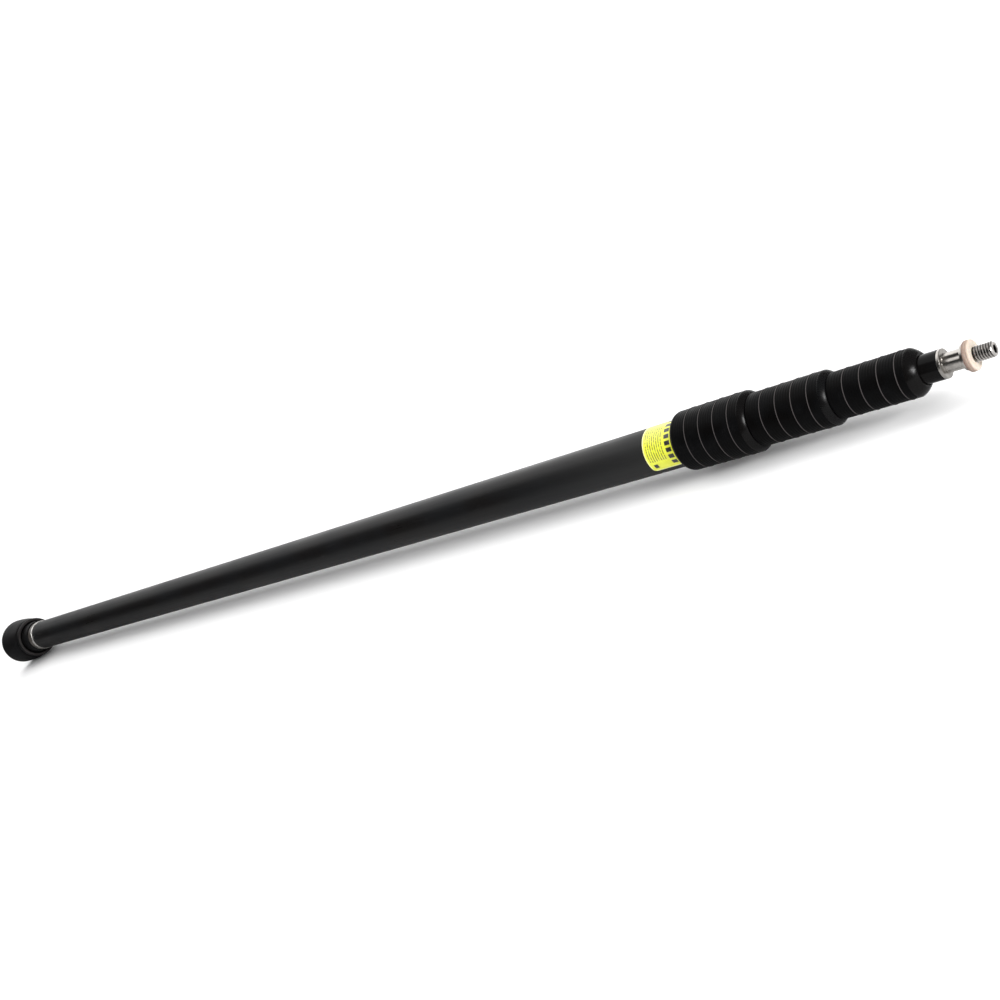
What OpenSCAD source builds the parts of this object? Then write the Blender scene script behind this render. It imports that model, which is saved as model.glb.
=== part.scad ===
/* [Tubes] */
// Outside diameter of the outer tube
tube_od = 33; // [31:0.1:35]
// How much smaller each next tube is, on its diameter
tube_step = 4.95; // [4.8:0.05:5.1]
// Wall of every tube
tube_wall = 1.2; // [1.1:0.05:1.3]
// Rear end of the outer tube, inside the rubber cap
outer_tube_rear = 5; // [4:0.5:7]
// Rear end of the second tube when the pole is closed
inner_tube_rear = 36; // [34:0.5:40]
// Length of the plastic guide bush on the rear end of each inner tube
bush_length = 40; // [30:1:50]

/* [Collars] */
// Outside diameter of the rear collar
collar_od = 41.7; // [41:0.1:43]
// How much smaller each next collar is, on its diameter
collar_step = 5.75; // [5.6:0.05:5.9]
// Front face of the rear collar
first_collar_front = 1120.8; // [1000:0.1:1200]
// Length of the rear collar
first_collar_length = 60.4; // [59:0.1:62]
// Distance from one collar's front face to the next
collar_pitch = 58; // [57:0.1:60]
// Gap between a collar and the one in front of it
collar_gap = 0.3; // [0.2:0.05:0.6]
// Distance between the raised lines of a rubber grip
line_pitch = 11.6; // [11:0.1:11.8]
// Height of a raised line
line_height = 0.3; // [0.1:0.05:0.5]

/* [Base] */
// Largest diameter of the rubber cap
cap_od = 52.4; // [50:0.1:56]
// Distance from the cap's rear face to its largest diameter
cap_bulge_at = 12.5; // [11:0.5:18]
// Diameter of the cap's rear face
cap_face_d = 32; // [28:0.5:36]
// Diameter of the groove behind the cap's front flange
cap_groove_d = 44.4; // [43:0.1:44.8]
// Rear edge of the groove
cap_groove_at = 43.5; // [38:0.5:45]
// Diameter of the cap's front flange
cap_flange_d = 46.4; // [46:0.1:49]
// Front face of the flange
cap_flange_front = 51; // [49:0.5:54]
// Diameter of the cap's neck
cap_neck_d = 37.2; // [36.6:0.1:39]
// Front end of the neck
cap_neck_front = 64; // [60:0.5:70]
// Outside diameter of the metal sleeve on the base of the outer tube
base_sleeve_d = 34.4; // [34.2:0.1:34.8]
// Front edge of the metal sleeve
base_sleeve_front = 73; // [72:0.5:80]

/* [Tip] */
// Visible length of the innermost tube
tip_tube_length = 11.4; // [8:0.1:20]
// Thickness of the flange that closes the innermost tube
tip_flange = 1.9; // [1.5:0.1:3]
// Diameter of the steel stem
stem_d = 12; // [11:0.1:13]
// Length of the stem
stem_length = 11.4; // [10:0.1:16]
// Depth of the grooves along the stem
flute_depth = 1.2; // [0.8:0.1:1.4]
// Diameter of the shoulder that carries the washer
shoulder_d = 15.6; // [14:0.1:17]
// Thickness of the shoulder
shoulder_thickness = 2; // [1.5:0.1:3]
// Diameter of the leather washer
washer_d = 19; // [17:0.1:21]
// Thickness of the leather washer
washer_thickness = 4.3; // [3:0.1:5]
// Major diameter of the 3/8 inch, 16 per inch stud
stud_d = 9.525; // [9.525]
// Length of the stud in front of the washer
stud_length = 11.9; // [9:0.1:14]

/* [Label] */
// Rear edge of the label on the outer tube
label_rear = 1034.8; // [1000:0.1:1050]
// Front edge of the label, under the rear collar
label_front = 1064; // [1061:0.1:1065]
// Angle where the label starts, from +Y towards +Z
label_start = 36; // [0:1:90]
// Angle that the label covers
label_sweep = 172; // [90:1:180]
// Thickness of the label
label_thickness = 0.15; // [0.1:0.01:0.25]

/* [Hidden] */
$fn = 96;

// Clearances between pieces that move on each other
running_gap = 0.1;
thread_gap = 0.3;
lip_gap = 0.45;
collet_gap = 0.3;
cone_gap = 0.2;

// Distances behind a collar's front face
ferrule_rear_back = 50;
tube_end_back = 24;
seat_back = 19.4;
ferrule_front_back = 15.5;
thread_front_back = 21;
collet_rear_back = 19;
collet_cone_back = 13;
collet_front_back = 5.6;
nut_shoulder_back = 5.2;
wiper_rear_back = 3.2;
wiper_front_back = 1;

// Power of the nose's curve: 2 would be a cone, and 1 a quarter of an ellipse
nose_power = 1.6;
// How far the rubber wraps behind the rear end of the nut
rubber_lip = 4.8;
// Share of the room between tube and collar that each metal wall takes
metal_share = 0.32;
// Radial sizes of the collet and its seat, above the tube that it clamps
collet_skirt = 1.5;
collet_shoulder = 2.4;
collet_nose = 1;
seat_room = 1.7;
wiper_room = 1.6;
collet_slots = 6;
slot_width = 1.2;

thread_pitch = 2;
thread_depth = 0.45;
thread_turns = 12;
thread_chamfer = 0.4;

collar_count = 3;
grip_lines = 4;
// Half widths of a raised line at its foot and at its crest
line_foot = 0.45;
line_crest = 0.12;

// Radii of the tubes, counted from 0 at the outer tube
function tube_r(k) = (tube_od - k * tube_step) / 2;
function bore_r(k) = tube_r(k) - tube_wall;
function collar_r(k) = (collar_od - k * collar_step) / 2;

// Places of the collars, counted from 0 at the rear
function collar_front(k) = first_collar_front + k * collar_pitch;
function collar_rear(k) =
    k == 0 ? collar_front(0) - first_collar_length : collar_front(k - 1) + collar_gap;
function tube_rear(k) = k == 0 ? outer_tube_rear : inner_tube_rear + (k - 1) * collar_pitch;
function tube_front(k) =
    k < collar_count ? collar_front(k) - tube_end_back : tip_x;

// Radii inside a collar, from the tube outwards: ferrule, nut, rubber
function room(k) = collar_r(k) - tube_r(k) - thread_gap;
function ferrule_r(k) = tube_r(k) + metal_share * room(k);
function nut_bore_r(k) = ferrule_r(k) + thread_gap;
function nut_r(k) = nut_bore_r(k) + metal_share * room(k);

// The nose is longer on the last collar, where nothing stands in front of it
function nose_drop(k) = k < collar_count - 1 ? 3.2 : 4.8;
function nose_length(k) = k < collar_count - 1 ? 4 : 6.1;
function nose_back(k) = nose_length(k) + 0.4;
function rear_round(k) = k == 0 ? collar_r(0) - tube_r(0) - lip_gap : 1;

// Points of an arc in a lathe profile, as [radius, x]
function arc(r, x, size, from, to, steps) =
    [for (i = [0:steps]) let (a = from + (to - from) * i / steps)
        [r + size * cos(a), x + size * sin(a)]];

// Nose of a nut, nearly a cone with soft shoulders, from the rubber to the front face
function nose(k, steps = 10) =
    [for (i = [0:steps]) let (a = 90 * i / steps)
        [collar_r(k) - nose_drop(k) * (1 - pow(cos(a), nose_power)),
         collar_front(k) - nose_length(k) * (1 - pow(sin(a), nose_power))]];

tip_x = collar_front(2) + tip_tube_length;
stem_x = tip_x + tip_flange;
shoulder_x = stem_x + stem_length;
washer_x = shoulder_x + shoulder_thickness;
stud_x = washer_x + washer_thickness;
stud_end = stud_x + stud_length;
plug_length = 16;
spigot_length = 20;
shank_r = 3.3;
flute_r = 3;
flute_count = 4;
flute_turn = 38;
stud_chamfer = 0.9;
relief_r = 4.2;
socket_flats = 4.76;
socket_depth = 5;

// Lathe work: a closed profile of [radius, x] points turned about the X axis
module turned(profile) {
    rotate([0, 90, 0])
        rotate_extrude()
            polygon(profile);
}

module ring(inner, outer, from, to) {
    turned([[inner, from], [outer, from], [outer, to], [inner, to]]);
}

module tube(k) {
    ring(bore_r(k), tube_r(k), tube_rear(k), tube_front(k));
}

module outer_tube() {
    color("#1d1b1b") tube(0);
}

module base_ferrule() {
    edge = 0.4;
    color("#6b625c")
        turned([
            [tube_od / 2, outer_tube_rear],
            [base_sleeve_d / 2, outer_tube_rear],
            [base_sleeve_d / 2, base_sleeve_front - edge],
            [base_sleeve_d / 2 - edge, base_sleeve_front],
            [tube_od / 2, base_sleeve_front]
        ]);
}

// Rubber bumper: a bulging body, a groove, a thin flange and a neck around the sleeve
module base_cap() {
    face_r = cap_face_d / 2;
    bulge_r = cap_od / 2;
    groove_r = cap_groove_d / 2;
    flange_r = cap_flange_d / 2;
    neck_r = cap_neck_d / 2;
    steps = 10;
    edge = 0.7;
    neck_edge = 1;
    recess = 4;
    groove_width = 2;
    bevel = 0.8;
    mouth_r = neck_r + 2;
    sleeve_r = base_sleeve_d / 2;
    back = [for (i = [0:steps]) let (a = 90 * i / steps)
        [face_r + (bulge_r - face_r) * sin(a), cap_bulge_at * (1 - cos(a))]];
    fall = [for (i = [1:steps]) let (a = 90 * i / steps)
        [groove_r + (bulge_r - groove_r) * cos(a),
         cap_bulge_at + (cap_groove_at - cap_bulge_at) * sin(a)]];
    color("#161616")
        turned(concat(
            [[0, 0]], back, fall,
            [[groove_r, cap_groove_at + groove_width]],
            [[flange_r - bevel, cap_groove_at + groove_width]],
            [[flange_r, cap_groove_at + groove_width + bevel]],
            arc(flange_r - edge, cap_flange_front - edge, edge, 0, 90, 5),
            [[mouth_r, cap_flange_front], [neck_r, cap_flange_front - recess]],
            arc(neck_r - neck_edge, cap_neck_front - neck_edge, neck_edge, 0, 90, 4),
            [[sleeve_r, cap_neck_front], [sleeve_r, outer_tube_rear], [0, outer_tube_rear]]
        ));
}

// Turned plug pressed into the rear end of the outer tube
module base_plug() {
    hollow_r = 9;
    hollow_depth = 12;
    color("#b9bcc0")
        turned([
            [hollow_r, outer_tube_rear],
            [bore_r(0), outer_tube_rear],
            [bore_r(0), outer_tube_rear + plug_length],
            [0, outer_tube_rear + plug_length],
            [0, outer_tube_rear + hollow_depth],
            [hollow_r, outer_tube_rear + hollow_depth]
        ]);
}

// Soft pad that the inner tubes come down on
module stop_pad() {
    from = outer_tube_rear + plug_length;
    thickness = 8;
    edge = 1.5;
    pad_r = 13;
    color("#2b2b2b")
        turned([
            [0, from], [pad_r, from], [pad_r, from + thickness - edge],
            [pad_r - edge, from + thickness], [0, from + thickness]
        ]);
}

module info_label() {
    color("#e8ee4a")
        rotate([0, 90, 0])
            rotate([0, 0, label_start + 90])
                rotate_extrude(angle = label_sweep)
                    translate([tube_od / 2, label_rear])
                        square([label_thickness, label_front - label_rear]);
}

// Threaded sleeve bonded over the front end of tube k, with the collet's seat inside
module thread_ferrule(k) {
    f = collar_front(k);
    outer = ferrule_r(k);
    next = tube_r(k + 1);
    first = f - thread_front_back - thread_turns * thread_pitch;
    grooves = [for (i = [0:thread_turns - 1]) let (x = first + i * thread_pitch)
        each [[outer, x], [outer - thread_depth, x + 0.5], [outer, x + 1]]];
    color("#8d9094")
        turned(concat(
            [[tube_r(k), f - ferrule_rear_back], [outer - 0.5, f - ferrule_rear_back]],
            [[outer, f - ferrule_rear_back + 0.5]],
            grooves,
            [[outer, f - ferrule_front_back - 0.5], [outer - 0.5, f - ferrule_front_back]],
            [[next + seat_room, f - ferrule_front_back], [next + seat_room, f - seat_back]],
            [[next + lip_gap, f - seat_back], [next + lip_gap, f - tube_end_back]],
            [[tube_r(k), f - tube_end_back]]
        ));
}

// Slotted nylon cone that the nut closes on the next tube
module collet(k) {
    f = collar_front(k);
    bore = tube_r(k + 1) + running_gap;
    next = tube_r(k + 1);
    length = collet_rear_back - collet_front_back;
    color("#d9d6cb")
        difference() {
            turned([
                [bore, f - collet_rear_back],
                [next + collet_skirt, f - collet_rear_back],
                [next + collet_skirt, f - ferrule_front_back + collet_gap],
                [next + collet_shoulder, f - ferrule_front_back + collet_gap],
                [next + collet_shoulder, f - collet_cone_back],
                [next + collet_nose, f - collet_front_back],
                [bore, f - collet_front_back]
            ]);
            for (i = [0:collet_slots - 1])
                rotate([i * 360 / collet_slots, 0, 0])
                    translate([f - collet_rear_back + (i == 0 ? -1 : 4), -slot_width / 2, 0])
                        cube([length + 2, slot_width, next + collet_shoulder + 1]);
        }
}

// Metal core of a collar: thread, cone and rounded nose in one turned piece
module lock_nut(k) {
    f = collar_front(k);
    rear = collar_rear(k) + rubber_lip;
    next = tube_r(k + 1);
    color("#131313")
        turned(concat(
            [[nut_bore_r(k) + thread_chamfer, rear], [nut_r(k), rear], [nut_r(k), f - nose_back(k)]],
            [[collar_r(k), f - nose_back(k)]],
            nose(k),
            [[next + lip_gap, f], [next + lip_gap, f - wiper_front_back]],
            [[next + wiper_room, f - wiper_front_back], [next + wiper_room, f - wiper_rear_back]],
            [[next + lip_gap, f - wiper_rear_back], [next + lip_gap, f - nut_shoulder_back]],
            [[next + collet_nose + lip_gap, f - nut_shoulder_back]],
            [[next + collet_shoulder + lip_gap, f - collet_cone_back + cone_gap]],
            [[nut_bore_r(k), f - collet_cone_back + cone_gap], [nut_bore_r(k), rear + thread_chamfer]]
        ));
}

// Rubber grip stretched over the nut, with raised lines around it
module grip_sleeve(k) {
    f = collar_front(k);
    rear = collar_rear(k);
    outer = collar_r(k);
    lip = tube_r(k) + lip_gap;
    n = rear_round(k);
    lines = [for (j = [grip_lines:-1:1]) let (x = f - j * line_pitch)
        each [[outer, x - line_foot], [outer + line_height, x - line_crest],
              [outer + line_height, x + line_crest], [outer, x + line_foot]]];
    color("#171515")
        turned(concat(
            k == 0 ? [] : [[lip, rear]],
            arc(outer - n, rear + n, n, -90, 0, 8),
            lines,
            [[outer, f - nose_back(k)], [nut_r(k), f - nose_back(k)]],
            [[nut_r(k), rear + rubber_lip], [lip, rear + rubber_lip]]
        ));
}

// Felt ring in the nose that keeps grit off the collet
module wiper_ring(k) {
    f = collar_front(k);
    color("#3b3a38")
        ring(tube_r(k + 1) + running_gap, tube_r(k + 1) + wiper_room,
             f - wiper_rear_back, f - wiper_front_back);
}

// Plastic sleeve on the rear end of tube k that slides in the tube outside it
module guide_bush(k) {
    from = tube_rear(k);
    to = from + bush_length;
    land = 9;
    relief = 0.4;
    outer = bore_r(k - 1) - running_gap;
    color("#e4e2da")
        turned([
            [tube_r(k), from], [outer - 0.3, from], [outer, from + 0.3],
            [outer, from + land], [outer - relief, from + land + relief],
            [outer - relief, to - land - relief], [outer, to - land],
            [outer, to - 0.3], [outer - 0.3, to], [tube_r(k), to]
        ]);
}

// Steel end: spigot inside the innermost tube, flange, fluted stem and washer shoulder
module tip_fitting() {
    flange_r = tube_r(3);
    edge = 0.35;
    color("#c9c6c1")
        difference() {
            turned([
                [0, tip_x - spigot_length],
                [bore_r(3) - 0.5, tip_x - spigot_length],
                [bore_r(3), tip_x - spigot_length + 0.5],
                [bore_r(3), tip_x],
                [flange_r - edge, tip_x],
                [flange_r, tip_x + edge],
                [flange_r, stem_x - edge],
                [flange_r - edge, stem_x],
                [stem_d / 2, stem_x],
                [stem_d / 2, shoulder_x],
                [shoulder_d / 2 - edge, shoulder_x],
                [shoulder_d / 2, shoulder_x + edge],
                [shoulder_d / 2, washer_x - edge],
                [shoulder_d / 2 - edge, washer_x],
                [0, washer_x]
            ]);
            translate([stem_x, 0, 0])
                rotate([0, 90, 0])
                    cylinder(r = shank_r, h = washer_x - stem_x + 1);
            for (i = [0:flute_count - 1])
                rotate([flute_turn + i * 360 / flute_count, 0, 0])
                    translate([stem_x, 0, stem_d / 2 + flute_r - flute_depth])
                        rotate([0, 90, 0])
                            cylinder(r = flute_r, h = stem_length);
        }
}

// Stud with a plain shank in the fitting, a relief under the washer and a hex socket
module tip_stud() {
    color("#bdbab5")
        difference() {
            turned([
                [0, stem_x],
                [shank_r, stem_x],
                [shank_r, washer_x],
                [relief_r, washer_x],
                [relief_r, stud_x],
                [stud_d / 2, stud_x],
                [stud_d / 2, stud_end - stud_chamfer],
                [stud_d / 2 - stud_chamfer, stud_end],
                [0, stud_end]
            ]);
            translate([stud_end - socket_depth, 0, 0])
                rotate([0, 90, 0])
                    cylinder(d = socket_flats / cos(30), h = socket_depth + 1, $fn = 6);
        }
}

module tip_washer() {
    n = 1.1;
    outer = washer_d / 2;
    color("#dcc0a6")
        turned(concat(
            [[relief_r + running_gap, washer_x]],
            arc(outer - n, washer_x + n, n, -90, 0, 5),
            arc(outer - n, stud_x - n, n, 0, 90, 5),
            [[relief_r + running_gap, stud_x]]
        ));
}

outer_tube();
base_ferrule();
base_cap();
base_plug();
stop_pad();
info_label();
thread_ferrule(0);  // thread_ferrule_1
collet(0);  // collet_1
lock_nut(0);  // lock_nut_1
grip_sleeve(0);  // grip_sleeve_1
wiper_ring(0);  // wiper_ring_1
color("#1f1d1d") tube(1);  // tube_2
guide_bush(1);  // guide_bush_2
thread_ferrule(1);  // thread_ferrule_2
collet(1);  // collet_2
lock_nut(1);  // lock_nut_2
grip_sleeve(1);  // grip_sleeve_2
wiper_ring(1);  // wiper_ring_2
color("#1f1d1d") tube(2);  // tube_3
guide_bush(2);  // guide_bush_3
thread_ferrule(2);  // thread_ferrule_3
collet(2);  // collet_3
lock_nut(2);  // lock_nut_3
grip_sleeve(2);  // grip_sleeve_3
wiper_ring(2);  // wiper_ring_3
color("#151417") tube(3);  // tube_4
guide_bush(3);  // guide_bush_4
tip_fitting();
tip_stud();
tip_washer();
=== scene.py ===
"""Looks of a telescoping boom pole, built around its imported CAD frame.

Lengths in the outlines are millimetres and are scaled to metres when a mesh is made.
The pole's axis is X, from the rubber cap at 0 to the threaded tip. Angles turn from +Y towards +Z.
"""
import math

import bmesh
import bpy
from mathutils import Matrix, Vector, noise


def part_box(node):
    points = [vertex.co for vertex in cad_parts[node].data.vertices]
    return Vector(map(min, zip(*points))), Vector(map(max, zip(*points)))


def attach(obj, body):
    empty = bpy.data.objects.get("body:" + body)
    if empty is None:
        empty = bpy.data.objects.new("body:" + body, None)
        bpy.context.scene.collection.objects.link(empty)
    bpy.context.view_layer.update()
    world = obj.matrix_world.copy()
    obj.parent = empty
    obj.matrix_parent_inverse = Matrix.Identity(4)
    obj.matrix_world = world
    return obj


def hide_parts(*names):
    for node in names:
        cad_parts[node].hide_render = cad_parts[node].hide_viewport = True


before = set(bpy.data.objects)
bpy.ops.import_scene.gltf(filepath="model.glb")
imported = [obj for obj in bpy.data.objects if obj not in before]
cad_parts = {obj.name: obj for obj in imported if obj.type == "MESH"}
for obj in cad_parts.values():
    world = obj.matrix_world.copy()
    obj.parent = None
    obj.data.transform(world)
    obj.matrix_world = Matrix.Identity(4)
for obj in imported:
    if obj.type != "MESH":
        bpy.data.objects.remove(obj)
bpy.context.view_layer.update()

MM = 0.001
FULL_TURN = 2 * math.pi
ROUND_SEGMENTS = 192
# Points closer than this are one point, in metres
JOIN_DISTANCE = 0.000002

# The pole's repeated sizes, in millimetres
TUBE_WALL = 1.2
LIP_GAP = 0.45
CAP_FLANGE_FRONT = 51
SLEEVE_BRIGHT_EDGE = 2.2

# Sticker: its thickness in millimetres and the angles of its ends in degrees
LABEL_THICKNESS = 0.15
LABEL_ANGLES = (36, 208)

# Rubber grips: the raised lines, the fine ribs between them, and the lip behind the nut
LINES = 4
LINE_PITCH = 11.6
LINE_HEIGHT = 0.3
LINE_HALF_WIDTH = 0.45
LINE_SINK = 0.04
RIB_DEPTH = 0.08
RIBS_PER_LINE = 6
RIB_STEP = 0.12
RUBBER_LIP = 4.8

# Lock nuts: each nose's drop in radius and its length, the straight land behind it, and inside the nut
# places behind the front face with their depths outside the lip
NOSES = {1: (3.2, 4.0), 2: (3.2, 4.0), 3: (4.8, 6.1)}
NOSE_POWER = 1.6
NOSE_LAND = 0.4
WIPER_SEAT = (1, 3.2)
WIPER_DEPTH = 1.15
COLLET_CONE = (5.2, 12.8)
CONE_DEPTH = (1, 2.4)
THREAD_CHAMFER = 0.4

# Camera: places in metres, roll in degrees and lens in millimetres
CAMERA_AT = (1.5615, -0.6276, 0.3409)
CAMERA_TARGET = (0.7348, 0.1393, -0.0694)
CAMERA_ROLL = 37.22
CAMERA_LENS = 45.53
CAMERA_SHIFT = (-0.0039, -0.0099)

# Floor: its height in millimetres and its size in metres
FLOOR_Z = -26.3
FLOOR_SIZE = 60

# Sky: it fades between these angles, in degrees, and changes with a direction's X, given as
# from, to, and the strength at each
SKY_EDGE = (96, 118)
SKY_BASE_END = (-1.0, -0.6, 0.1, 1.0)
SKY_TIP_END = (-0.55, 0.1, 1.0, 0.1)


def span(node):
    """Rear end, front end and outer radius of a round CAD node, in millimetres."""
    low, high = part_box(node)
    return low.x / MM, high.x / MM, high.z / MM


# ---------------------------------------------------------------- meshes

def merge_and_orient(mesh):
    """Joins points that coincide, drops faces with no area and turns the others outwards."""
    work = bmesh.new()
    work.from_mesh(mesh)
    bmesh.ops.remove_doubles(work, verts=work.verts, dist=JOIN_DISTANCE)
    bmesh.ops.dissolve_degenerate(work, edges=work.edges, dist=JOIN_DISTANCE)
    bmesh.ops.recalc_face_normals(work, faces=work.faces)
    work.to_mesh(mesh)
    work.free()


def mesh_from(name, points, faces, sharp_angle=32, joined=False):
    """A smooth-shaded mesh whose edges above sharp_angle degrees stay crisp."""
    mesh = bpy.data.meshes.new(name)
    mesh.from_pydata([Vector(p) * MM for p in points], [], faces)
    mesh.validate()
    if joined:
        merge_and_orient(mesh)
    mesh.shade_smooth()
    mesh.set_sharp_from_angle(angle=math.radians(sharp_angle))
    return mesh


def rounded(corners, steps=4):
    """An outline of (x, radius) points from corners (x, radius, size of the rounding).

    A corner without a size stays sharp.
    """
    points = []
    count = len(corners)
    for i, corner in enumerate(corners):
        here = Vector(corner[:2])
        size = corner[2] if len(corner) > 2 else 0
        if not size:
            points.append(tuple(here))
            continue
        before = Vector(corners[i - 1][:2])
        after = Vector(corners[(i + 1) % count][:2])
        start = here + (before - here).normalized() * size
        end = here + (after - here).normalized() * size
        for step in range(steps + 1):
            t = step / steps
            bend = start * (1 - t) ** 2 + here * 2 * t * (1 - t) + end * t * t
            points.append(tuple(bend))
    return points


def quarter_turn(steps):
    """Angles from 0 to 90 degrees, in radians."""
    return [math.pi / 2 * i / steps for i in range(steps + 1)]


class Shell:
    """Points and faces of a surface round the pole's axis. Points are known by their numbers."""

    def __init__(self, segments=ROUND_SEGMENTS):
        self.angles = [FULL_TURN * i / segments for i in range(segments)]
        self.points = []
        self.faces = []

    def add(self, x, radius, angle):
        self.points.append((x, radius * math.cos(angle), radius * math.sin(angle)))
        return len(self.points) - 1

    def ring(self, x, radius):
        """A ring's points, back to the first. At radius 0 they are all one point on the axis."""
        if radius == 0:
            return [self.add(x, 0, 0)] * (len(self.angles) + 1)
        ring = [self.add(x, radius(a) if callable(radius) else radius, a) for a in self.angles]
        return ring + ring[:1]

    def grid(self, rows):
        """Adds the faces between neighbouring rows, as far as the shorter row goes."""
        for row, following in zip(rows, rows[1:]):
            pairs = list(zip(row, following))
            for (a, b), (a_next, b_next) in zip(pairs, pairs[1:]):
                self.faces.append(tuple(dict.fromkeys((a, a_next, b_next, b))))


def skin(name, outline, closed=False, segments=ROUND_SEGMENTS, sharp_angle=32):
    """A surface through rings (x, radius). A radius is a number or a function of the angle."""
    shell = Shell(segments)
    rings = [shell.ring(x, radius) for x, radius in outline]
    if closed:
        rings.append(rings[0])
    shell.grid(rings)
    return mesh_from(name, shell.points, shell.faces, sharp_angle)


def piece(name, mesh, material, body, slot, *nodes):
    """Puts a mesh in the scene as a piece that rides on a body and stands for CAD nodes."""
    obj = bpy.data.objects.new(name, mesh)
    bpy.context.scene.collection.objects.link(obj)
    mesh.materials.append(material)
    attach(obj, body)
    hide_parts(*nodes)


# ---------------------------------------------------------------- materials

class Nodes:
    """A node tree, with short calls for the nodes that repeat."""

    def __init__(self, tree, coordinates):
        self.tree = tree
        coords = tree.nodes.new("ShaderNodeTexCoord")
        self.place = coords.outputs[coordinates]
        split = self.node("ShaderNodeSeparateXYZ", {0: self.place})
        self.x, self.y, self.z = split.outputs

    def node(self, kind, inputs, **settings):
        made = self.tree.nodes.new(kind)
        for key, value in settings.items():
            setattr(made, key, value)
        for key, value in inputs.items():
            self.feed(made.inputs[key], value)
        return made

    def feed(self, socket, value):
        if isinstance(value, bpy.types.NodeSocket):
            self.tree.links.new(value, socket)
        else:
            socket.default_value = value

    def calc(self, operation, *values):
        made = self.node("ShaderNodeMath", dict(enumerate(values)), operation=operation)
        return made.outputs[0]

    def plus(self, first, second):
        return self.calc("ADD", first, second)

    def minus(self, first, second):
        return self.calc("SUBTRACT", first, second)

    def times(self, first, second):
        return self.calc("MULTIPLY", first, second)

    def over(self, first, second):
        return self.calc("DIVIDE", first, second)

    def ramp(self, value, low, high, to_low=0.0, to_high=1.0):
        """A smooth change from to_low to to_high as the value goes from low to high."""
        made = self.node(
            "ShaderNodeMapRange",
            {0: value, 1: low, 2: high, 3: to_low, 4: to_high},
            interpolation_type="SMOOTHSTEP",
        )
        return made.outputs[0]

    def path(self, kind):
        """1 for light rays of a kind, such as Is Camera Ray, and 0 for others."""
        return self.node("ShaderNodeLightPath", {}).outputs[kind]


class Surface(Nodes):
    """One material. Its coordinates are the piece's own, in metres."""

    def __init__(self, name, **constants):
        self.material = bpy.data.materials.new(name)
        self.material.use_nodes = True
        tree = self.material.node_tree
        self.shader = tree.nodes["Principled BSDF"]
        for socket, value in constants.items():
            self.shader.inputs[socket.replace("_", " ")].default_value = value
        super().__init__(tree, "Object")

    def noise(self, stretch, scale, detail=3.0):
        """Noise with a stretch for each axis."""
        spread = self.node("ShaderNodeVectorMath", {0: self.place, 1: stretch}, operation="MULTIPLY")
        made = self.node(
            "ShaderNodeTexNoise",
            {"Vector": spread.outputs[0], "Scale": scale, "Detail": detail},
        )
        return made.outputs[0]

    def even_noise(self, scale, detail=3.0):
        return self.noise((1, 1, 1), scale, detail)

    def mix(self, share, first, second):
        made = self.node("ShaderNodeMix", {0: share, 6: first, 7: second}, data_type="RGBA")
        return made.outputs[2]

    def bump(self, height, distance, normal=None):
        inputs = {"Height": height, "Distance": distance, "Strength": 1.0}
        if normal is not None:
            inputs["Normal"] = normal
        return self.node("ShaderNodeBump", inputs).outputs[0]

    def finish(self, **links):
        for socket, value in links.items():
            self.tree.links.new(value, self.shader.inputs[socket.replace("_", " ")])
        return self.material


def shade(value, tint=(1.0, 1.0, 1.0)):
    """An opaque colour from a grey value and a tint."""
    return (value * tint[0], value * tint[1], value * tint[2], 1.0)


WARM = (1.08, 0.98, 0.97)
COOL = (0.94, 0.98, 1.08)


def satin_anodised(name, tone, worn_tone, roughness, specular, wear_over=None):
    """Anodised tube with fine lines along it and clouds of tone, greyer where hands rub it.

    wear_over gives where the wear towards the front begins and where it is full.
    """
    s = Surface(name, Specular_IOR_Level=specular)
    clouds = s.even_noise(22, 4)
    lines = s.noise((12, 1600, 1600), 1, 3)
    scuffs = s.noise((60, 420, 420), 1, 5)
    colour = s.mix(s.ramp(clouds, 0.35, 0.65), shade(tone, WARM), shade(tone * 1.25, COOL))
    rub = s.times(s.ramp(scuffs, 0.6, 0.78), 0.5)
    if wear_over is not None:
        begins, full = wear_over
        rub = s.calc("MAXIMUM", rub, s.times(s.ramp(s.x, begins * MM, full * MM), 0.8))
    colour = s.mix(rub, colour, shade(worn_tone))
    gloss = s.plus(
        s.ramp(clouds, 0.3, 0.7, roughness - 0.05, roughness + 0.04),
        s.ramp(lines, 0.3, 0.7, -0.04, 0.05),
    )
    gloss = s.plus(gloss, s.times(rub, 0.12))
    normal = s.bump(lines, 0.00001)
    normal = s.bump(scuffs, 0.000006, normal)
    return s.finish(Base_Color=colour, Roughness=gloss, Normal=normal)


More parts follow.
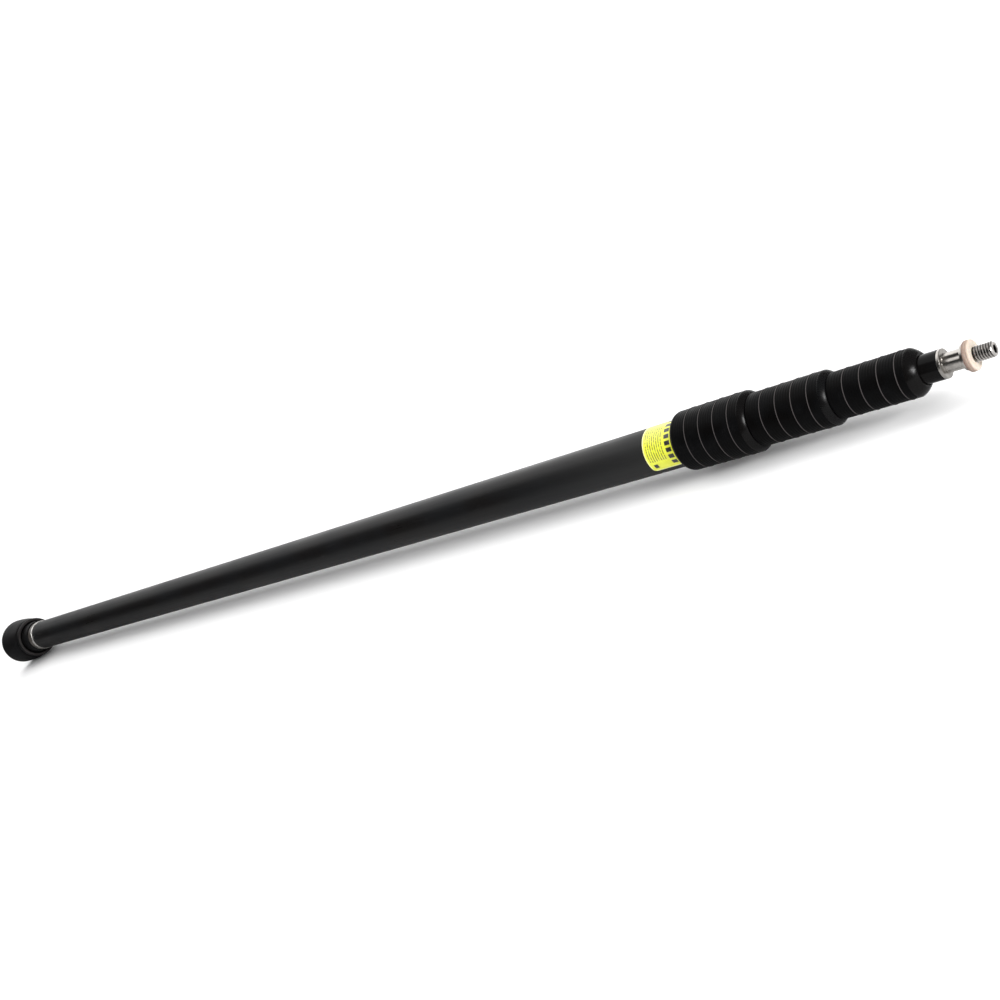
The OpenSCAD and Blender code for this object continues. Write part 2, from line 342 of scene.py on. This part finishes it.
def moulded_rubber(name, tone, roughness, specular, grain=2600, line_at=None, painted_highlight_face=None):
    """Black rubber with a fine grain and pale dust.

    line_at is the place that the raised lines, polished by hands, are counted from. The lines are
    glossier, and are also painted lighter as a painted highlight.
    The last argument is the place of a front face that is painted paler, a painted highlight on its
    edge.
    """
    s = Surface(name, Specular_IOR_Level=specular)
    fine = s.even_noise(grain, 2)
    patches = s.even_noise(70, 5)
    specks = s.even_noise(900, 2)
    colour = s.mix(s.ramp(patches, 0.3, 0.7), shade(tone * 0.8, WARM), shade(tone * 1.3, COOL))
    dusty = s.times(s.ramp(patches, 0.52, 0.75), s.ramp(specks, 0.45, 0.7))
    colour = s.mix(s.times(dusty, 0.5), colour, shade(tone * 4, WARM))
    gloss = s.plus(
        s.ramp(patches, 0.3, 0.7, roughness - 0.06, roughness + 0.06),
        s.ramp(fine, 0.3, 0.7, -0.04, 0.04),
    )
    if line_at is not None:
        lines = s.over(s.minus(s.x, line_at * MM), LINE_PITCH * MM)
        off_line = s.calc("ABSOLUTE", s.minus(lines, s.calc("ROUND", lines)))
        # Painted highlight: the raised lines are painted lighter than the rubber round them
        crest = s.ramp(off_line, 0.12 / LINE_PITCH, LINE_HALF_WIDTH / LINE_PITCH, 1.0, 0.0)
        colour = s.mix(crest, colour, shade(0.055, WARM))
        gloss = s.minus(gloss, s.times(crest, 0.14))
    if painted_highlight_face is not None:
        # Painted highlight: a thin band at the front face is painted paler, broken up by noise
        behind = s.ramp(s.x, (painted_highlight_face - 0.5) * MM, (painted_highlight_face - 0.1) * MM)
        ahead = s.ramp(s.x, (painted_highlight_face + 0.1) * MM, (painted_highlight_face + 0.3) * MM, 1.0, 0.0)
        scuffs = s.ramp(patches, 0.35, 0.65, 0.6, 1.0)
        colour = s.mix(s.times(s.times(behind, ahead), scuffs), colour, shade(0.032, WARM))
    return s.finish(Base_Color=colour, Roughness=gloss, Normal=s.bump(fine, 0.00002))


def turned_metal(name, tone, tint, roughness, thread=None):
    """Lathe-turned metal: faint rings round the axis, and a film of handling marks.

    thread is the radius of a thread's crests and the place of its end. Below the crests, away from the
    front face, the metal is painted dark as painted shade in the thread's roots.
    """
    s = Surface(name, Metallic=1.0)
    rings = s.noise((5200, 3, 3), 1, 2)
    film = s.even_noise(260, 4)
    colour = s.mix(s.ramp(film, 0.35, 0.7), shade(tone, tint), shade(tone * 0.82, tint))
    if thread is not None:
        crest, end = thread
        radius = s.calc("SQRT", s.plus(s.times(s.y, s.y), s.times(s.z, s.z)))
        # Painted shade: darkens everything below the thread's crests, such as its roots, except near the
        # front face
        painted_root_shade = s.ramp(radius, (crest - 0.85) * MM, (crest - 0.1) * MM, 0.85, 0.0)
        painted_root_shade = s.times(painted_root_shade, s.ramp(s.x, (end - 1.2) * MM, (end - 0.8) * MM, 1.0, 0.0))
        colour = s.mix(painted_root_shade, colour, shade(0.06, tint))
    gloss = s.plus(
        s.ramp(rings, 0.3, 0.7, roughness - 0.05, roughness + 0.06),
        s.ramp(film, 0.4, 0.7, 0.0, 0.08),
    )
    return s.finish(Base_Color=colour, Roughness=gloss, Normal=s.bump(rings, 0.000004))


def sleeve_metal(name, edge_x):
    """Dark anodised sleeve whose front edge is turned bright, with chips along it."""
    s = Surface(name, Specular_IOR_Level=0.5)
    brown = (1.1, 0.98, 0.88)
    clouds = s.even_noise(120, 4)
    chips = s.even_noise(420, 3)
    rings = s.noise((6000, 4, 4), 1, 2)
    ragged = s.ramp(chips, 0.3, 0.75, -0.25, 0.35)
    bright = s.plus(s.over(s.minus(s.x, edge_x * MM), MM), ragged)
    bright = s.ramp(bright, -0.1, 0.1)
    patchy = s.ramp(s.even_noise(90, 2), 0.38, 0.6, 0.35, 1.0)
    colour = s.mix(s.ramp(clouds, 0.3, 0.7), shade(0.045, brown), shade(0.075, brown))
    colour = s.mix(bright, colour, shade(0.72, (1.0, 0.97, 0.93)))
    return s.finish(
        Base_Color=colour, Metallic=s.times(bright, patchy),
        Roughness=s.ramp(rings, 0.3, 0.7, 0.22, 0.34), Normal=s.bump(rings, 0.000004),
    )


def cut_leather(name, rear, front):
    """Undyed leather washer: fibres and pressed layers on its rim, paler on its front face, and its rim
    painted darker towards the rear as painted shade.
    """
    s = Surface(name, Specular_IOR_Level=0.25, Subsurface_Weight=0.1, Subsurface_Scale=0.002)
    fibre = s.even_noise(1500, 5)
    layers = s.noise((2600, 220, 220), 1, 3)
    stain = s.even_noise(260, 3)
    # Painted shade: the rim is painted darker towards its rear
    along = s.ramp(s.x, rear * MM, front * MM)
    colour = s.mix(along, shade(0.2, (1.0, 0.7, 0.6)), shade(0.5, (1.0, 0.78, 0.64)))
    colour = s.mix(s.ramp(layers, 0.45, 0.7, 0.0, 0.6), colour, shade(0.22, (1.0, 0.66, 0.5)))
    face = s.ramp(s.x, (front - 0.9) * MM, (front - 0.2) * MM)
    colour = s.mix(face, colour, shade(0.52, (1.0, 0.87, 0.74)))
    colour = s.mix(s.ramp(stain, 0.5, 0.8, 0.0, 0.4), colour, shade(0.42, (1.0, 0.7, 0.52)))
    normal = s.bump(layers, 0.00015)
    normal = s.bump(fibre, 0.00012, normal)
    return s.finish(Base_Color=colour, Roughness=s.ramp(fibre, 0.3, 0.7, 0.68, 0.9), Normal=normal)


def printed_vinyl(name, rear, front, radius, first_angle, last_angle):
    """Yellow sticker with plain dark bars: a row of blocks at its front, broken lines behind them."""
    margin = 3.0
    pale_border = 0.9
    block_pitch = 4.7
    blocks_from = front - 10.2
    blocks_to = front - 5.8
    line_pitch = 1.9
    dash = 0.9
    lines_from = rear + 2.4
    lines_to = front - 11.6
    square_size = 3.4
    s = Surface(name, Specular_IOR_Level=0.4, Coat_Weight=0.25, Coat_Roughness=0.2)
    angle = s.calc("ARCTAN2", s.z, s.y)
    angle = s.plus(angle, s.times(s.calc("LESS_THAN", angle, 0.0), FULL_TURN))
    along = s.times(s.minus(angle, first_angle), radius)
    across = s.over(s.x, MM)
    length = (last_angle - first_angle) * radius

    def between(value, low, high):
        return s.times(s.calc("GREATER_THAN", value, low), s.calc("LESS_THAN", value, high))

    def part_of(value, start, pitch):
        return s.calc("FRACT", s.over(s.minus(value, start), pitch))

    block = between(part_of(along, 0, block_pitch), 0.16, 0.8)
    blocks = s.times(block, between(across, blocks_from, blocks_to))
    row = s.calc("FLOOR", s.over(s.minus(across, lines_from), line_pitch))
    column = s.calc("FLOOR", s.over(along, dash))
    cell = s.node("ShaderNodeCombineXYZ", {0: column, 1: row, 2: 0.0}).outputs[0]
    shown = s.node("ShaderNodeTexWhiteNoise", {0: cell}).outputs[0]
    lines = between(part_of(across, lines_from, line_pitch), 0.0, 0.45)
    lines = s.times(lines, s.ramp(shown, 0.0, 0.5, 0.2, 0.75))
    lines = s.times(lines, between(across, lines_from, lines_to))
    lines = s.times(lines, between(along, margin, length - margin - square_size - 2.1))
    square = s.times(
        between(along, length - margin - square_size, length - margin),
        between(across, lines_from + 1.0, lines_from + 1.0 + square_size),
    )
    ink = s.calc("MAXIMUM", s.calc("MAXIMUM", blocks, lines), square)
    ink = s.times(ink, between(along, margin, length - margin))
    mottle = s.even_noise(300, 4)
    yellow = s.mix(s.ramp(mottle, 0.3, 0.7), (0.74, 0.76, 0.035, 1), (0.8, 0.83, 0.07, 1))
    inside = s.calc("GREATER_THAN", across, rear + pale_border)
    inside = s.times(between(along, pale_border, length - pale_border), inside)
    colour = s.mix(inside, (0.8, 0.82, 0.34, 1), yellow)
    worn_ink = s.mix(s.ramp(mottle, 0.3, 0.8), shade(0.02), shade(0.06))
    colour = s.mix(ink, colour, worn_ink)
    gloss = s.ramp(mottle, 0.3, 0.7, 0.34, 0.5)
    return s.finish(Base_Color=colour, Roughness=gloss, Normal=s.bump(mottle, 0.00002))


def moulded_nylon(name):
    """Off-white nylon with flow marks along the part."""
    s = Surface(name, Specular_IOR_Level=0.45, Subsurface_Weight=0.15, Subsurface_Scale=0.001)
    flow = s.noise((300, 40, 40), 1, 4)
    fine = s.even_noise(2200, 2)
    dull = shade(0.66, (1.0, 0.97, 0.9))
    bright = shade(0.76, (1.0, 0.98, 0.92))
    return s.finish(
        Base_Color=s.mix(s.ramp(flow, 0.3, 0.7), dull, bright),
        Roughness=s.ramp(fine, 0.3, 0.7, 0.42, 0.55), Normal=s.bump(fine, 0.00001),
    )


def pressed_felt(name):
    """Dark felt with hairs and clumps."""
    s = Surface(name, Specular_IOR_Level=0.1, Sheen_Weight=0.3)
    hairs = s.even_noise(5200, 5)
    clumps = s.even_noise(900, 3)
    return s.finish(
        Base_Color=s.mix(s.ramp(clumps, 0.3, 0.7), shade(0.035), shade(0.08, WARM)),
        Roughness=s.ramp(hairs, 0.3, 0.7, 0.85, 1.0), Normal=s.bump(hairs, 0.0001),
    )


# ---------------------------------------------------------------- pieces of the pole

def make_tube(node, body, slot, material):
    """A plain tube with slightly broken edges."""
    rear, front, radius = span(node)
    edge = 0.25
    bore = radius - TUBE_WALL
    outline = rounded([
        (rear, bore, edge), (rear, radius, edge),
        (front, radius, edge), (front, bore, edge),
    ])
    piece(node + "_skin", skin(node, outline, closed=True), material, body, slot, node)


def make_base_cap(material):
    """Bulging bumper with a groove, a thin flange, a neck, and two shallow rings in its rear face."""
    rear, front, bulge = span("base_cap")
    sleeve = span("base_ferrule")[2]
    face = 16
    bulge_at = 12.5
    groove = 22.2
    groove_at = 43.5
    flange = 23.2
    flange_rear = 45.5
    neck = 18.6
    mouth = 20.6
    recess = 4
    bore_from = 5
    face_rings = (6.5, 11.5)
    ring_profile = ((-0.9, 0), (-0.7, 0.25), (-0.3, 0.5), (0.3, 0.5), (0.7, 0.25), (0.9, 0))
    outline = [(rear, 0)]
    for ring in face_rings:
        outline += [(rear + depth, ring + across) for across, depth in ring_profile]
    for a in quarter_turn(24):
        outline.append((bulge_at * (1 - math.cos(a)), face + (bulge - face) * math.sin(a)))
    for a in quarter_turn(24)[1:]:
        x = bulge_at + (groove_at - bulge_at) * math.sin(a)
        outline.append((x, groove + (bulge - groove) * math.cos(a)))
    outline += rounded([
        (groove_at, groove), (flange_rear, groove, 0.5),
        (flange_rear + 0.4, flange, 0.8), (CAP_FLANGE_FRONT, flange, 0.6),
        (CAP_FLANGE_FRONT, mouth, 0.35), (CAP_FLANGE_FRONT - recess, neck, 0.6),
        (front, neck, 0.9), (front, sleeve),
    ])[1:]
    outline += [(bore_from, sleeve), (bore_from, 0)]
    piece("bumper_cap", skin("bumper_cap", outline), material, "root", "cap_rubber", "base_cap")


def make_base_sleeve(material):
    """Thin metal sleeve round the base of the outer tube."""
    rear, front, radius = span("base_ferrule")
    tube = span("outer_tube")[2]
    outline = rounded([(rear, tube), (rear, radius, 0.15), (front, radius, 0.4), (front, tube)])
    mesh = skin("base_sleeve", outline, closed=True)
    piece("base_sleeve", mesh, material, "root", "base_sleeve", "base_ferrule")


def border(rows):
    """The points round a grid's edge, back to the first."""
    fronts = [row[-1] for row in rows]
    rears = [row[0] for row in rows]
    return rows[0] + fronts[1:] + rows[-1][-2::-1] + rears[-2::-1]


def make_label(material, rear, front, inner, outer, first_angle, last_angle):
    """A thin curved sticker with rounded rear corners."""
    corner = 3.0
    columns = 8
    middle_steps = 60
    arc = (last_angle - first_angle) * outer
    fine = [corner * (1 - math.cos(a)) for a in quarter_turn(10)]
    middle = [corner + (arc - 2 * corner) * i / middle_steps for i in range(1, middle_steps)]
    places = fine + middle + [arc - place for place in reversed(fine)]
    shell = Shell()
    layers = []
    for radius in (outer, inner):
        rows = []
        for place in places:
            reach = min(place, arc - place, corner)
            start = rear + corner - math.sqrt(max(0, corner ** 2 - (corner - reach) ** 2))
            angle = first_angle + place / outer
            across = [start + (front - start) * j / columns for j in range(columns + 1)]
            rows.append([shell.add(x, radius, angle) for x in across])
        shell.grid(rows)
        layers.append(rows)
    shell.grid([border(rows) for rows in layers])
    mesh = mesh_from("sticker", shell.points, shell.faces, joined=True)
    piece("sticker", mesh, material, "root", "label_yellow", "info_label")


def rib_height(distance, ribs_end, ribs_start):
    """Height of the ribbed rubber above the collar's radius, at a distance behind its front face."""
    nearest = round(distance / LINE_PITCH)
    from_line = abs(distance - nearest * LINE_PITCH)
    if 1 <= nearest <= LINES and from_line < LINE_HALF_WIDTH:
        return LINE_HEIGHT * (1 - (from_line / LINE_HALF_WIDTH) ** 2) - LINE_SINK
    if distance < ribs_start or distance > ribs_end:
        return 0
    phase = distance / LINE_PITCH * RIBS_PER_LINE
    return -RIB_DEPTH * (0.5 - 0.5 * math.cos(FULL_TURN * phase))


def make_collar(k, body, rubber, nose_metal):
    """Ribbed rubber grip with four raised lines, over a nut whose smooth nose shows in front."""
    grip = f"grip_sleeve_{k}"
    rear, grip_front, top = span(grip)
    radius = top - LINE_HEIGHT
    front = span(f"lock_nut_{k}")[1]
    around = span("outer_tube" if k == 1 else f"tube_{k}")[2] + LIP_GAP
    rear_round = radius - around if k == 1 else min(1.0, radius - around)
    bore, nut_radius = nut_wall(k)
    outline = [] if k == 1 else [(rear, around)]
    for a in quarter_turn(16):
        outline.append((rear + rear_round * (1 - math.cos(a)), radius - rear_round * (1 - math.sin(a))))
    ribs_from = rear + max(rear_round, 1.5)
    ribs_to = grip_front - 1.2
    steps = int((ribs_to - ribs_from) / RIB_STEP) + 1
    for i in range(1, steps):
        x = ribs_from + (ribs_to - ribs_from) * i / steps
        height = rib_height(front - x, front - ribs_from - 0.4, front - ribs_to + 0.4)
        outline.append((x, radius + height))
    outline += rounded([(ribs_to, radius), (grip_front, radius, 0.25), (grip_front, nut_radius)])[1:]
    outline += [(rear + RUBBER_LIP, nut_radius), (rear + RUBBER_LIP, around)]
    mesh = skin(grip, outline, closed=True, sharp_angle=50)
    piece(f"ribbed_grip_{k}", mesh, rubber, body, "grip_rubber", grip)
    make_nut(k, body, nose_metal, radius, nut_radius, bore)


def nut_wall(k):
    """Bore and outer radius of a nut under its rubber, measured on the CAD nut's rear end."""
    nut_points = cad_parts[f"lock_nut_{k}"].data.vertices
    rear = span(f"lock_nut_{k}")[0]
    radii = [math.hypot(v.co.y, v.co.z) / MM for v in nut_points if v.co.x < (rear + 1) * MM]
    return min(radii), max(radii)


def nose(front, radius, drop, length):
    """The curve of a nut's nose, from its full radius to its front face."""
    curve = []
    for a in quarter_turn(14):
        x = front - length * (1 - math.sin(a) ** NOSE_POWER)
        curve.append((x, radius - drop * (1 - math.cos(a) ** NOSE_POWER)))
    return curve


def make_nut(k, body, material, radius, nut_radius, bore):
    """A nut with a smooth nose, and inside it a seat for the wiper and a cone for the collet."""
    nut = f"lock_nut_{k}"
    rear, front, _ = span(nut)
    drop, length = NOSES[k]
    shoulder = front - length - NOSE_LAND
    lip = span(f"tube_{k + 1}")[2] + LIP_GAP
    seat_front, seat_rear = [front - back for back in WIPER_SEAT]
    cone_front, cone_rear = [front - back for back in COLLET_CONE]
    outline = [(rear, bore + THREAD_CHAMFER), (rear, nut_radius), (shoulder, nut_radius)]
    step = [(shoulder, nut_radius), (shoulder, radius, 0.18), (front - length, radius)]
    outline += rounded(step)[1:-1]
    outline += nose(front, radius, drop, length)
    outline += rounded([
        (front, radius - drop), (front, lip, 0.3), (seat_front, lip),
        (seat_front, lip + WIPER_DEPTH), (seat_rear, lip + WIPER_DEPTH), (seat_rear, lip),
        (cone_front, lip), (cone_front, lip + CONE_DEPTH[0]), (cone_rear, lip + CONE_DEPTH[1]),
        (cone_rear, bore), (rear + THREAD_CHAMFER, bore),
    ])[1:]
    piece(f"nut_nose_{k}", skin(nut, outline, closed=True), material, body, "nut_black", nut)


# ---------------------------------------------------------------- tip

INCH = 25.4
STUD_MAJOR = INCH * 3 / 16
STUD_MINOR = STUD_MAJOR - 0.92
STUD_PITCH = INCH / 16
STUD_CHAMFER = 0.9
STUD_SEGMENTS = 96
SHANK_RADIUS = 3.3
RELIEF_RADIUS = 4.2
SOCKET_FLATS = 4.76
SOCKET_DEPTH = 5
# The thread's radius over one pitch, and the shares of a pitch where its surface has points
THREAD_PROFILE = (
    (0.0, STUD_MINOR), (0.125, STUD_MINOR), (0.5, STUD_MAJOR), (0.62, STUD_MAJOR), (1.0, STUD_MINOR),
)
THREAD_ROWS = (0.0, 0.125, 0.3, 0.5, 0.62, 0.82)

# The stem between the flange and the shoulder, in millimetres and degrees
STEM_RADIUS = 6.0
FLUTES = 4
FLUTE_CUTTER = 3.0
FLUTE_DEPTH = 1.2
FLUTE_TURN = 38


def fluted(growth=0.0):
    """Radius of the grooved stem as a function of the angle, made larger by a growth."""
    centre = STEM_RADIUS + FLUTE_CUTTER - FLUTE_DEPTH
    pitch = FULL_TURN / FLUTES

    def radius(angle):
        # The first groove faces +Z, turned about +X
        first = math.pi / 2 + math.radians(FLUTE_TURN)
        off = (angle - first + pitch / 2) % pitch - pitch / 2
        side = centre * math.sin(off)
        if abs(side) >= FLUTE_CUTTER:
            return STEM_RADIUS + growth
        floor = centre * math.cos(off) - math.sqrt(FLUTE_CUTTER ** 2 - side ** 2)
        return min(STEM_RADIUS, floor) + growth

    return radius


def make_tip_fitting(material):
    """Steel fitting: a plug in the innermost tube, a flange, the fluted stem and a shoulder."""
    rear, front, flange = span("tip_fitting")
    tube_front, tube_radius = span("tube_4")[1:]
    bore = tube_radius - TUBE_WALL
    stem_rear = span("tip_stud")[0]
    stem_front = front - 2
    shoulder = 7.8
    fillet = 0.35
    stem_steps = 8
    curve = (0.4, 0.8, 1.2, math.pi / 2)
    rings = [(rear, 0)]
    rings += rounded([(rear, 0), (rear, bore, 0.5), (tube_front, bore)])[1:]
    rings += rounded([
        (tube_front, bore), (tube_front, flange, 0.25), (stem_rear, flange, 0.35),
        (stem_rear, STEM_RADIUS + fillet),
    ])[1:]
    for a in curve:
        rings.append((stem_rear + fillet * (1 - math.cos(a)), fluted(fillet * (1 - math.sin(a)))))
    for i in range(1, stem_steps):
        along = (stem_front - stem_rear - 2 * fillet) * i / stem_steps
        rings.append((stem_rear + fillet + along, fluted()))
    for a in reversed(curve):
        rings.append((stem_front - fillet * (1 - math.cos(a)), fluted(fillet * (1 - math.sin(a)))))
    rings += rounded([
        (stem_front, STEM_RADIUS + fillet), (stem_front, shoulder, 0.3),
        (front, shoulder, 0.3), (front, SHANK_RADIUS),
    ])
    rings += [(stem_rear, SHANK_RADIUS), (stem_rear, 0)]
    mesh = skin("fluted_fitting", rings, segments=240, sharp_angle=40)
    piece("fluted_fitting", mesh, material, "section_4", "steel", "tip_fitting")


def make_washer(material):
    """Leather washer with a slightly uneven rim, a pressed line round it and soft edges."""
    rear, front, radius = span("tip_washer")
    bore = RELIEF_RADIUS + 0.1
    line_at = front - 1.6

    def uneven(base):
        def at(angle):
            place = Vector((math.cos(angle) * 1.7, math.sin(angle) * 1.7, base * 3))
            return base - 0.16 * (0.5 + 0.5 * noise.noise(place))
        return at

    outline = rounded([
        (rear, bore, 0.2), (rear, radius, 1.1), (line_at - 0.15, radius, 0.5),
        (line_at, radius - 0.3, 0.1), (line_at + 0.15, radius, 0.5),
        (front, radius - 0.2, 0.9), (front, bore, 0.5),
    ], steps=6)
    rings = [(x, uneven(r) if r > bore + 1 else r) for x, r in outline]
    mesh = skin("leather_washer", rings, closed=True)
    piece("leather_washer", mesh, material, "section_4", "leather", "tip_washer")


def thread_radius(x, angle, rear, front):
    """Radius of the stud's thread, which fades in at its rear and is chamfered at its front."""
    phase = ((x - rear) / STUD_PITCH - angle / FULL_TURN) % 1
    for (low, r_low), (high, r_high) in zip(THREAD_PROFILE, THREAD_PROFILE[1:]):
        if phase <= high:
            radius = r_low + (r_high - r_low) * (phase - low) / (high - low)
            break
    shallow = STUD_MINOR - 0.1
    lead_in = shallow + (x - rear) * 2
    chamfer = STUD_MAJOR - STUD_CHAMFER + (front - x)
    return min(radius, chamfer, max(lead_in, shallow))


def add_thread(shell, rear, front):
    """Adds the thread as a helical grid, and returns its rear and front rings."""
    turns = math.ceil((front - rear) / STUD_PITCH) + 1
    rows = [turn + share for turn in range(-1, turns) for share in THREAD_ROWS]
    strips = []
    for angle in shell.angles:
        places = [rear + STUD_PITCH * (row + angle / FULL_TURN) for row in rows]
        places = [min(max(x, rear), front) for x in places]
        strips.append([shell.add(x, thread_radius(x, angle, rear, front), angle) for x in places])
    # After a full turn the last strip meets the first one a pitch further on
    a_pitch_on = strips[0][len(THREAD_ROWS):]
    shell.grid(strips + [a_pitch_on])
    closed = strips + strips[:1]
    return [strip[0] for strip in closed], [strip[-1] for strip in closed]


def make_stud(material):
    """The 3/8 inch stud with its real helical thread, 16 per inch, and a hexagon socket in its end."""
    shank_rear, front, _ = span("tip_stud")
    washer_rear, thread_rear, _ = span("tip_washer")
    socket_end = front - SOCKET_DEPTH

    def hexagon(angle):
        return SOCKET_FLATS / 2 / math.cos((angle + math.pi / 6) % (math.pi / 3) - math.pi / 6)

    shell = Shell(STUD_SEGMENTS)
    thread_start, thread_end = add_thread(shell, thread_rear, front)
    ahead = [
        (front, lambda a: hexagon(a) + 0.25), (front - 0.25, hexagon), (socket_end, hexagon),
        (socket_end - 1.2, 0),
    ]
    behind = [
        (thread_rear, RELIEF_RADIUS), (washer_rear, RELIEF_RADIUS), (washer_rear, SHANK_RADIUS),
        (shank_rear, SHANK_RADIUS), (shank_rear, 0),
    ]
    for start, outline in ((thread_end, ahead), (thread_start, behind)):
        shell.grid([start] + [shell.ring(x, radius) for x, radius in outline])
    mesh = mesh_from("threaded_stud", shell.points, shell.faces, sharp_angle=28, joined=True)
    piece("threaded_stud", mesh, material, "section_4", "steel", "tip_stud")


# ---------------------------------------------------------------- stage

def make_camera():
    """The photograph's camera, rolled about its line of sight."""
    data = bpy.data.cameras.new("camera")
    camera = bpy.data.objects.new("camera", data)
    bpy.context.scene.collection.objects.link(camera)
    look = (Vector(CAMERA_TARGET) - Vector(CAMERA_AT)).to_track_quat("-Z", "Y").to_matrix()
    roll = Matrix.Rotation(math.radians(-CAMERA_ROLL), 3, "Z")
    camera.matrix_world = Matrix.Translation(CAMERA_AT) @ (look @ roll).to_4x4()
    data.lens = CAMERA_LENS
    data.shift_x, data.shift_y = CAMERA_SHIFT
    data.clip_start = 0.01
    data.clip_end = 100
    bpy.context.scene.camera = camera


def make_floor():
    """A pale floor under the pole."""
    s = Surface("pale_floor", Specular_IOR_Level=0.1)
    colour = s.mix(s.even_noise(3, 2), shade(0.86), shade(0.88))
    # The black tube mirrors the floor, and mirrors less of it towards the base
    dimming = s.times(s.path("Is Glossy Ray"), s.ramp(s.x, 0.0, 1.0, 0.75, 0.3))
    colour = s.mix(dimming, colour, shade(0.0))
    roughness = s.ramp(s.even_noise(40, 2), 0.3, 0.7, 0.85, 0.95)
    material = s.finish(Base_Color=colour, Roughness=roughness)
    half = FLOOR_SIZE / 2
    mesh = bpy.data.meshes.new("floor")
    corners = [(-half, -half), (half, -half), (half, half), (-half, half)]
    mesh.from_pydata([(x, y, FLOOR_Z * MM) for x, y in corners], [], [(0, 1, 2, 3)])
    mesh.materials.append(material)
    floor = bpy.data.objects.new("floor", mesh)
    bpy.context.scene.collection.objects.link(floor)


def make_sky(overhead, front_side, seen):
    """A studio sky: bright above and behind the pole, dark on the camera's side and past the ends.

    overhead and front_side are the strengths on either side of SKY_EDGE. The camera sees an even
    white of strength seen instead.
    """
    world = bpy.data.worlds.new("studio")
    bpy.context.scene.world = world
    world.use_nodes = True
    world.node_tree.nodes.clear()
    sky = Nodes(world.node_tree, "Generated")
    edge_from, edge_to = [math.radians(angle) for angle in SKY_EDGE]
    around = sky.ramp(sky.calc("ARCTAN2", sky.z, sky.y), edge_from, edge_to, overhead, front_side)
    ends = sky.times(sky.ramp(sky.x, *SKY_BASE_END), sky.ramp(sky.x, *SKY_TIP_END))
    camera_ray = sky.path("Is Camera Ray")
    light = sky.times(sky.minus(1.0, camera_ray), sky.times(around, ends))
    strength = sky.plus(sky.times(camera_ray, seen), light)
    background = sky.node("ShaderNodeBackground", {"Color": (1, 1, 1, 1), "Strength": strength})
    sky.node("ShaderNodeOutputWorld", {"Surface": background.outputs[0]})


def make_light(kind, name, at, target, power, in_gloss=True, **settings):
    """A light aimed at a target. in_gloss says whether shiny surfaces mirror it."""
    data = bpy.data.lights.new(name, kind)
    data.energy = power
    for key, value in settings.items():
        setattr(data, key, value)
    light = bpy.data.objects.new(name, data)
    bpy.context.scene.collection.objects.link(light)
    light.location = at
    light.rotation_mode = "QUATERNION"
    light.rotation_quaternion = (Vector(target) - Vector(at)).to_track_quat("-Z", "Y")
    light.visible_glossy = in_gloss


# ---------------------------------------------------------------- build

satin = satin_anodised("satin_tube", 0.006, 0.02, 0.36, 0.13, wear_over=(880, 1060))
satin_inner = satin_anodised("satin_inner_tube", 0.006, 0.02, 0.34, 0.13)
gloss = satin_anodised("gloss_tube", 0.003, 0.008, 0.12, 0.07)
nose_black = satin_anodised("nose_black", 0.003, 0.006, 0.27, 0.1)
grip_black = moulded_rubber("grip_rubber", 0.0025, 0.46, 0.025, line_at=span("lock_nut_1")[1])
cap_black = moulded_rubber("cap_rubber", 0.005, 0.5, 0.08, grain=1800, painted_highlight_face=CAP_FLANGE_FRONT)
pad_rubber = moulded_rubber("pad_rubber", 0.03, 0.75, 0.3)
steel = turned_metal("turned_steel", 0.38, (1.0, 0.95, 0.89), 0.29)
thread_ends = (STUD_MAJOR, span("tip_stud")[1])
stud_steel = turned_metal("stud_steel", 0.52, (1.0, 0.95, 0.91), 0.26, thread=thread_ends)
aluminium = turned_metal("turned_aluminium", 0.72, (0.98, 0.99, 1.0), 0.3)
sleeve = sleeve_metal("sleeve_metal", span("base_ferrule")[1] - SLEEVE_BRIGHT_EDGE)
nylon = moulded_nylon("nylon")
felt = pressed_felt("felt")

make_tube("outer_tube", "root", "tube_satin", satin)
for k in (2, 3):
    make_tube(f"tube_{k}", f"section_{k}", "tube_satin", satin_inner)
make_tube("tube_4", "section_4", "tube_gloss", gloss)
make_base_cap(cap_black)
make_base_sleeve(sleeve)

label_rear, label_front, _ = span("info_label")
label_first, label_last = [math.radians(angle) for angle in LABEL_ANGLES]
under_label = span("outer_tube")[2]
over_label = under_label + LABEL_THICKNESS
vinyl = printed_vinyl("printed_vinyl", label_rear, label_front, under_label, label_first, label_last)
make_label(vinyl, label_rear, label_front, under_label, over_label, label_first, label_last)

for k in (1, 2, 3):
    make_collar(k, f"collar_{k}", grip_black, nose_black)

make_tip_fitting(steel)
washer_rear, washer_front, _ = span("tip_washer")
make_washer(cut_leather("cut_leather", washer_rear, washer_front))
make_stud(stud_steel)

# The CAD pieces that no one sees stay as they are, in these materials
hidden_finishes = {
    "base_plug": aluminium,
    "stop_pad": pad_rubber,
    "thread_ferrule": aluminium,
    "collet": nylon,
    "guide_bush": nylon,
    "wiper_ring": felt,
}
for node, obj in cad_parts.items():
    for start, material in hidden_finishes.items():
        if node.startswith(start):
            obj.material_slots[0].material = material

make_camera()
make_floor()
make_sky(overhead=2.6, front_side=0.05, seen=1.1)
make_light("AREA", "nose_light", (2.55, -0.45, 0.55), (1.2, 0, 0), 26, size=0.45)
make_light("SUN", "soft_fill", (0.9, -0.8, 3), (0.7, 0, 0), 2.2, in_gloss=False, angle=math.radians(100))
bpy.context.scene.view_settings.view_transform = "Standard"
